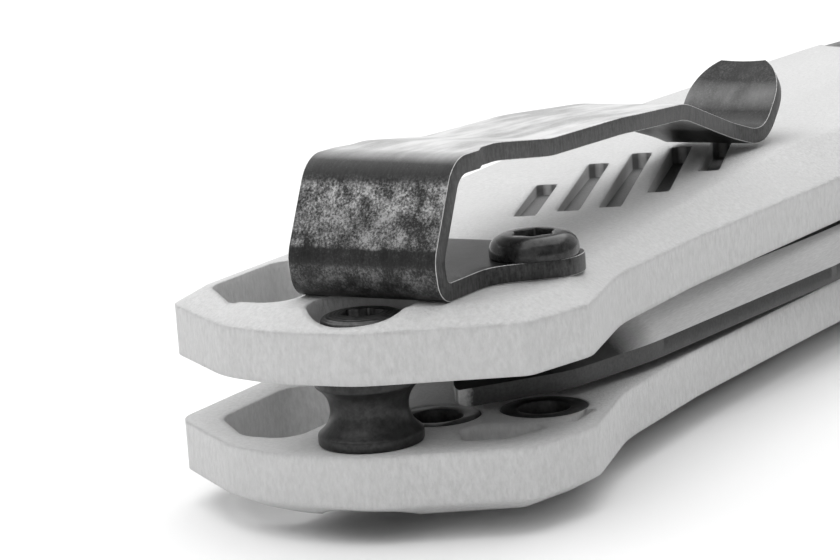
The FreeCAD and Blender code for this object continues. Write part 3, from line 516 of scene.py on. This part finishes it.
# ------------------------------------------------------------------ pocket clip
def build_clip():
    th = 0.85
    line = rounded_line(
        [(10.6, 4.72), (0.15, 4.72), (-0.12, 6.75), (2.05, 10.97), (6.6, 10.95), (11.9, 10.28), (19.6, 10.12),
         (28.0, 9.55), (38.3, 6.45), (42.2, 9.85)],
        [0, 1.2, 1.8, 1.9, 9.0, 9.0, 25.0, 9.0, 2.6, 0], step=3.0)
    line = refine_line(line, 0.42)
    head = [p for p in line if p[0] < 39.6]
    line = head + refine_line([head[-1]] + [p for p in line if p[0] >= 39.6], 0.12)[1:]
    nor = side_normals(line)
    arm = refine_line(rounded_line(
        [(-2, 3.85), (4.7, 3.85), (4.95, 3.5), (21.0, 3.5), (35.2, 2.35), (38.0, 2.75), (42.45, 2.75), (42.45, 0.0)],
        [0, 0.1, 0.1, 30, 6, 2.5, 2.6, 0], step=6.0), 0.3)
    lo = refine_line(rounded_line(
        [(-2, -3.85), (4.7, -3.85), (5.9, -5.2), (7.2, -6.75), (9.4, -6.6), (10.3, -4.0), (10.6, -0.6), (10.6, 0.6)],
        [0, 2.2, 1.2, 1.6, 1.6, 2.5, 1.0, 0], step=6.0), 0.2)
    hi = refine_line(rounded_line([(-2, 3.85), (9.0, 3.85), (10.6, 2.0), (10.6, 0.7)], [0, 0.8, 1.0, 0], step=6.0), 0.2)

    def at(poly, x, far):
        best = None
        for a, b in zip(poly, poly[1:]):
            if min(a[0], b[0]) - 1e-9 <= x <= max(a[0], b[0]) + 1e-9:
                t = 0 if abs(b[0] - a[0]) < 1e-9 else (x - a[0]) / (b[0] - a[0])
                y = a[1] + (b[1] - a[1]) * t
                if best is None or (y < best if far < 0 else y > best):
                    best = y
        return best if best is not None else poly[-1][1]

    # the foot's end needs close stations where its outline turns
    cols = 12
    bm = bmesh.new()
    rows = []
    for (x, z), (nx, nz) in zip(line, nor):
        if z < 7.0 and x > -0.2 and x < 20:
            y0, y1 = at(lo, min(x, 10.59), -1), at(hi, min(x, 10.59), 1)
        else:
            y1 = at(arm, x, 1)
            y0 = -y1
        dish = max(0.0, min(1.0, (x - 38.6) / 2.2)) if x > 30 else 0.0
        top, bot = [], []
        for c in range(cols + 1):
            u = -1 + 2.0 * c / cols
            y = (y0 + y1) / 2 + (y1 - y0) / 2 * u
            bend = 0.10 * dish * (u * u)
            px, pz = x - nx * bend, z - nz * bend
            top.append((px, y, pz))
            bot.append((px + nx * th, y, pz + nz * th))
        rows.append((top, bot))
    turn = math.radians(1.8)

    def place(p):
        x, y, z = p
        return P(x * math.cos(turn) - y * math.sin(turn), x * math.sin(turn) + y * math.cos(turn) - 0.15, z)

    vt = [[bm.verts.new(place(p)) for p in top] for top, bot in rows]
    vb = [[bm.verts.new(place(p)) for p in bot] for top, bot in rows]

    def quad(vs, mat):
        f = bm.faces.new(vs)
        f.material_index = mat

    for i in range(len(rows) - 1):
        for c in range(cols):
            quad((vt[i][c], vt[i][c + 1], vt[i + 1][c + 1], vt[i + 1][c]), 0)
            quad((vb[i][c], vb[i + 1][c], vb[i + 1][c + 1], vb[i][c + 1]), 0)
        quad((vt[i][0], vt[i + 1][0], vb[i + 1][0], vb[i][0]), 1)
        quad((vt[i][cols], vb[i][cols], vb[i + 1][cols], vt[i + 1][cols]), 1)
    for i in (0, len(rows) - 1):
        for c in range(cols):
            quad((vt[i][c], vt[i][c + 1], vb[i][c + 1], vb[i][c]), 1)
    o = new_piece("pocket_clip_formed", bm, [M_CLIP, M_CLIP_EDGE, M_CLIP_RIM_HIGHLIGHT], "handle")
    # the rounded rims take material 2, the bright rim: worn bare steel painted lighter as a highlight
    edge_break(o, 0.10, 3, 40.0, material=2)
    smooth(o, 50)
    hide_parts("pocket_clip")
    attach(o, "handle")
    return o


build_clip()


# ------------------------------------------------------------------ blade
SPINE = rounded_line([(4.5, -1.7), (9.6, -5.05), (15.5, -6.1), (35.0, -7.1), (60.0, -7.6), (75.0, -9.1)],
                     [0, 5.0, 20.0, 60.0, 60.0, 0], step=4.0)
EDGE = rounded_line([(4.5, -1.7), (9.0, 1.25), (16.5, 5.2), (28.0, 8.6), (46.0, 9.3), (76.4, 9.3)],
                    [0, 16.0, 30.0, 40.0, 90.0, 0], step=4.0)


def sweep(name, line, inward, section, mat, lift=None):
    """A closed bar whose section (distance inwards, height) follows a plan line; lift(x) raises it as it goes."""
    pts = refine_line(line, 0.9)
    nor = side_normals(pts)
    bm = bmesh.new()
    rings = []
    for (x, y), (nx, ny) in zip(pts, nor):
        rise = lift(x) if lift else 0.0
        rings.append([bm.verts.new(P(x + nx * d * inward, y + ny * d * inward, z + rise)) for d, z in section])
    for a, b in zip(rings, rings[1:]):
        n = len(a)
        for k in range(n):
            bm.faces.new((a[k], a[(k + 1) % n], b[(k + 1) % n], b[k]))
    bm.faces.new(rings[0])
    bm.faces.new(list(reversed(rings[-1])))
    return new_piece(name, bm, [mat], "blade_assembly")


def cut(o, cutter):
    m = o.modifiers.new("cut", "BOOLEAN")
    m.operation = "DIFFERENCE"
    m.solver = "EXACT"
    m.object = cutter
    m.material_mode = "TRANSFER"
    apply_modifiers(o)
    bpy.data.objects.remove(cutter)


def lengthen(line, head=1.5):
    (ax, ay), (bx, by) = line[0], line[1]
    ln = math.hypot(bx - ax, by - ay)
    return [(ax - (bx - ax) / ln * head, ay - (by - ay) / ln * head)] + line


def build_blade():
    o = cad_copy("blade", "blade_ground")
    o.data.materials.clear()
    o.data.materials.append(M_BLADE)
    # false edge along the spine on the upper side, from the point back
    spine = lengthen([p for p in refine_line(SPINE, 2.0) if p[0] < 72.0])
    # the cut faces take the swedge material, painted pale as a reflection from about X 13 mm back
    cut(o, sweep("swedge_cut", spine, -1.0, [(-0.8, -0.28 - 0.8 * 0.9), (1.9, -0.28 + 1.9 * 0.9), (1.9, 4.4), (-0.8, 4.4)],
                 M_SWEDGE_REFLECTION, lambda x: 2.1 * max(0.0, min(1.0, (x - 63.0) / 9.0)) ** 1.6))
    # sharpened edge, both sides
    edge = lengthen(EDGE)
    for s in (1, -1):
        sec = [(-0.5, s * (0.04 - 0.5 * 0.55)), (1.5, s * (0.04 + 1.5 * 0.55)), (1.5, s * 2.0), (-0.5, s * 2.0)]
        cut(o, sweep("edge_cut", edge, 1.0, sec, M_BLADE_EDGE, lambda x, s=s: s * 0.8 * max(0.0, min(1.0, (9.5 - x) / 5.0))))
    smooth(o, 30)
    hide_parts("blade")
    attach(o, "blade_assembly")
    return o


build_blade()


# ------------------------------------------------------------------ pieces with broken edges
def finish_piece(node, name, body, width, mat, segments=2, angle=28.0, shade=40.0):
    o = cad_copy(node, name)
    o.data.materials.clear()
    o.data.materials.append(mat)
    edge_break(o, width, segments, angle)
    smooth(o, shade)
    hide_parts(node)
    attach(o, body)
    return o


for side in ("clip_side", "show_side"):
    finish_piece(side + "_scale", side + "_scale_moulded", "handle", 0.22, M_POLY, 3, 24.0, 60.0)
    for part, width, mat, slot in (("rear_spacer_screw_", 0.05, M_REAR_SCREW, "screw_black"),
                                   ("middle_spacer_screw_", 0.05, M_SCREW, "screw_black"),
                                   ("pivot_screw_", 0.06, M_SCREW, "screw_black"),
                                   ("clip_inserts_", 0.06, M_INSERT, "insert_black")):
        finish_piece(part + side, part + side + "_broken", "handle", width, mat)
    finish_piece(side + "_liner", side + "_liner_broken", "handle", 0.06, M_LINER, 1)
    finish_piece("thumb_stud_" + side, "thumb_stud_" + side + "_broken", "blade_assembly", 0.08, M_HARD)
    finish_piece("lock_button_" + side, "lock_button_" + side + "_broken", "lock_assembly", 0.12, M_HARD)
    # the lock's omega spring is copied from the CAD mesh, smoothed and left fixed in place
    o = cad_copy("omega_spring_" + side, "omega_spring_" + side + "_bending")
    o.data.materials.clear()
    o.data.materials.append(M_SPRING)
    smooth(o, 60)
    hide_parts("omega_spring_" + side)
    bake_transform(o)
for part, width in (("rear_spacer", 0.06), ("middle_spacer", 0.06)):
    finish_piece(part, part + "_broken", "handle", width, M_SPACER)
for part, width in (("clip_screw_button_head", 0.06), ("clip_screw_flush_head", 0.05)):
    finish_piece(part, part + "_broken", "handle", width, M_SCREW)

# ------------------------------------------------------------------ camera
F_PX, EL, ROLL = 2735.87, math.radians(11.143), math.radians(4.077)
h = Vector((0.8387, 0.5446, 0.0)).normalized()
R0 = Vector((h.y, -h.x, 0.0))
FW = Vector((math.cos(EL) * h.x, math.cos(EL) * h.y, -math.sin(EL)))
U0 = Vector((math.sin(EL) * h.x, math.sin(EL) * h.y, math.cos(EL)))
right = R0 * math.cos(ROLL) - U0 * math.sin(ROLL)
up = R0 * math.sin(ROLL) + U0 * math.cos(ROLL)
cam_data = bpy.data.cameras.new("camera")
cam = bpy.data.objects.new("camera", cam_data)
scene.collection.objects.link(cam)
cam.matrix_world = Matrix.Translation(P(-98.58, -67.19, 29.07)) @ Matrix(
    ((right.x, up.x, -FW.x), (right.y, up.y, -FW.y), (right.z, up.z, -FW.z))).to_4x4()
cam_data.sensor_width = 36.0
cam_data.lens = F_PX / 840.0 * 36.0
cam_data.clip_start = 0.001
cam_data.clip_end = 20.0
cam_data.dof.use_dof = False
scene.camera = cam

# ------------------------------------------------------------------ studio
def area(name, loc, target, size, power, size_y=None):
    d = bpy.data.lights.new(name, "AREA")
    d.energy = power
    d.size = size
    if size_y:
        d.shape = "RECTANGLE"
        d.size_y = size_y
    o = bpy.data.objects.new(name, d)
    scene.collection.objects.link(o)
    o.location = loc
    o.rotation_euler = (Vector(target) - Vector(loc)).to_track_quat("-Z", "Y").to_euler()
    return o


world = bpy.data.worlds.new("studio")
scene.world = world
world.use_nodes = True
wn = world.node_tree
bg = wn.nodes["Background"]
# a bright cyclorama ahead of the lens and a dim room behind it
wtc = wn.nodes.new("ShaderNodeTexCoord")
wdot = wn.nodes.new("ShaderNodeVectorMath")
wdot.operation = "DOT_PRODUCT"
wdot.inputs[1].default_value = (0.74, 0.48, 0.47)
wn.links.new(wtc.outputs["Generated"], wdot.inputs[0])
wr = wn.nodes.new("ShaderNodeValToRGB")
for (p, c), e in zip(((0.0, 0.17), (0.36, 0.22), (0.62, 0.64), (1.0, 1.0)),
                     [wr.color_ramp.elements[0], wr.color_ramp.elements[1],
                      wr.color_ramp.elements.new(0.5), wr.color_ramp.elements.new(0.7)]):
    e.position = p
    e.color = (c, c, c, 1.0)
wm = wn.nodes.new("ShaderNodeMath")
wm.operation = "MULTIPLY_ADD"
wm.inputs[1].default_value = 0.5
wm.inputs[2].default_value = 0.5
wn.links.new(wdot.outputs["Value"], wm.inputs[0])
wn.links.new(wm.outputs[0], wr.inputs["Fac"])
wn.links.new(wr.outputs["Color"], bg.inputs["Color"])
bg.inputs["Strength"].default_value = 0.72
area("top_box", (0.06, 0.10, 0.46), (0, 0, 0), 1.0, 4.0, 0.9)
area("left_box", (-0.55, -0.10, 0.26), (0, 0, 0.005), 0.80, 0.75, 0.60)

fm = Mat("floor_pale")
fn = fm.noise(0.03, 3.0, 0.5)
fm.set(color=fm.mixc(fn, 0.90, 0.92), rough=0.75, spec=0.15)
bm = bmesh.new()
bmesh.ops.create_grid(bm, x_segments=8, y_segments=8, size=4.0)
me = bpy.data.meshes.new("floor")
bm.to_mesh(me)
bm.free()
floor = bpy.data.objects.new("floor", me)
scene.collection.objects.link(floor)
floor.location = (0, 0, CAD_BOX[0][2] - 0.00005)
me.materials.append(fm.m)
